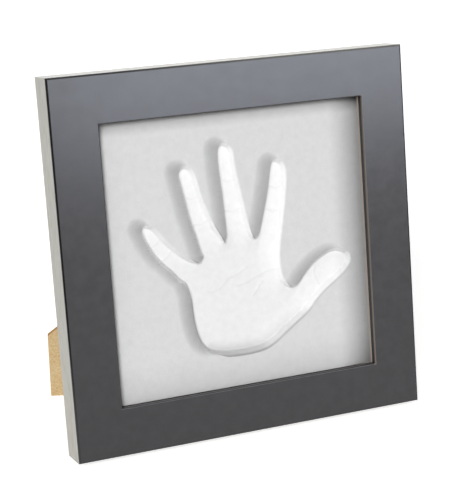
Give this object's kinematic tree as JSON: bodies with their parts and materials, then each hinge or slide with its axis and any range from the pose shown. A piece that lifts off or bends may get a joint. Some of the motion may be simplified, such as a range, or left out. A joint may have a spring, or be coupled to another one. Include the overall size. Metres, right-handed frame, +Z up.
{
  "type": "tabletop clay handprint frame",
  "caption": "Square tabletop frame with a black face around a clay panel pressed with a small hand, held by turn buttons at the back and stood up by a folding diagonal easel leg.",
  "frame": {"origin": "on the table, in the middle of the object's footprint, left to right and front to back", "axes": "+Z up, +X to the right seen from the front, +Y towards the back, where the easel leg stands"},
  "size_m": [0.2286, 0.1096, 0.2286],
  "materials": {
    "painted_wood": "satin black lacquer on the front face and its rounded arrises, pale champagne grey on the outer sides, bare wood in the rebate",
    "air_dry_clay": "matt white air-dry clay with faint kneading marks",
    "fibreboard": "raw tan medium-density fibreboard",
    "zinc_steel": "bright zinc-plated stamped steel",
    "brassed_steel": "thin brass plating on stamped steel"
  },
  "bodies": {
    "frame": {"rail_bottom": "painted_wood", "rail_right": "painted_wood", "rail_top": "painted_wood", "rail_left": "painted_wood", "corner_v_nails": "zinc_steel", "clay_panel": "air_dry_clay", "backing_board": "fibreboard", "turn_button_screws": "brassed_steel", "sawtooth_hanger_top": "brassed_steel", "sawtooth_hanger_side": "brassed_steel", "hanger_nails": "brassed_steel", "hinge_fixed_leaf": "zinc_steel", "hinge_pin": "zinc_steel", "hinge_board_rivets": "zinc_steel"},
    "easel": {"hinge_moving_leaf": "zinc_steel", "easel_leg": "fibreboard", "hinge_leg_rivets": "zinc_steel"},
    "turn_button_bottom": {"turn_button_bottom": "brassed_steel"},
    "turn_button_right_lower": {"turn_button_right_lower": "brassed_steel"},
    "turn_button_right_upper": {"turn_button_right_upper": "brassed_steel"},
    "turn_button_top_right": {"turn_button_top_right": "brassed_steel"},
    "turn_button_top_left": {"turn_button_top_left": "brassed_steel"},
    "turn_button_left": {"turn_button_left": "brassed_steel"}
  },
  "joints": [
    {"name": "easel_fold", "type": "hinge", "parent": "frame", "child": "easel", "pos_m": [0.022, -0.00754, 0.13378], "axis": [0.7071, -0.1252, -0.6959], "range_deg": [-26.2, 0]},
    {"name": "turn_button_bottom_turn", "type": "hinge", "parent": "frame", "child": "turn_button_bottom", "pos_m": [0, -0.0306, 0.01722], "axis": [0, 0.9842, -0.1771], "continuous": true},
    {"name": "turn_button_right_lower_turn", "type": "hinge", "parent": "frame", "child": "turn_button_right_lower", "pos_m": [0.0968, -0.0232, 0.05836], "axis": [0, 0.9842, -0.1771], "continuous": true},
    {"name": "turn_button_right_upper_turn", "type": "hinge", "parent": "frame", "child": "turn_button_right_upper", "pos_m": [0.0968, -0.00372, 0.16662], "axis": [0, 0.9842, -0.1771], "continuous": true},
    {"name": "turn_button_top_right_turn", "type": "hinge", "parent": "frame", "child": "turn_button_top_right", "pos_m": [0.055, 0.00369, 0.20776], "axis": [0, 0.9842, -0.1771], "continuous": true},
    {"name": "turn_button_top_left_turn", "type": "hinge", "parent": "frame", "child": "turn_button_top_left", "pos_m": [-0.055, 0.00369, 0.20776], "axis": [0, 0.9842, -0.1771], "continuous": true},
    {"name": "turn_button_left_turn", "type": "hinge", "parent": "frame", "child": "turn_button_left", "pos_m": [-0.0968, -0.01345, 0.11249], "axis": [0, 0.9842, -0.1771], "continuous": true}
  ]
}
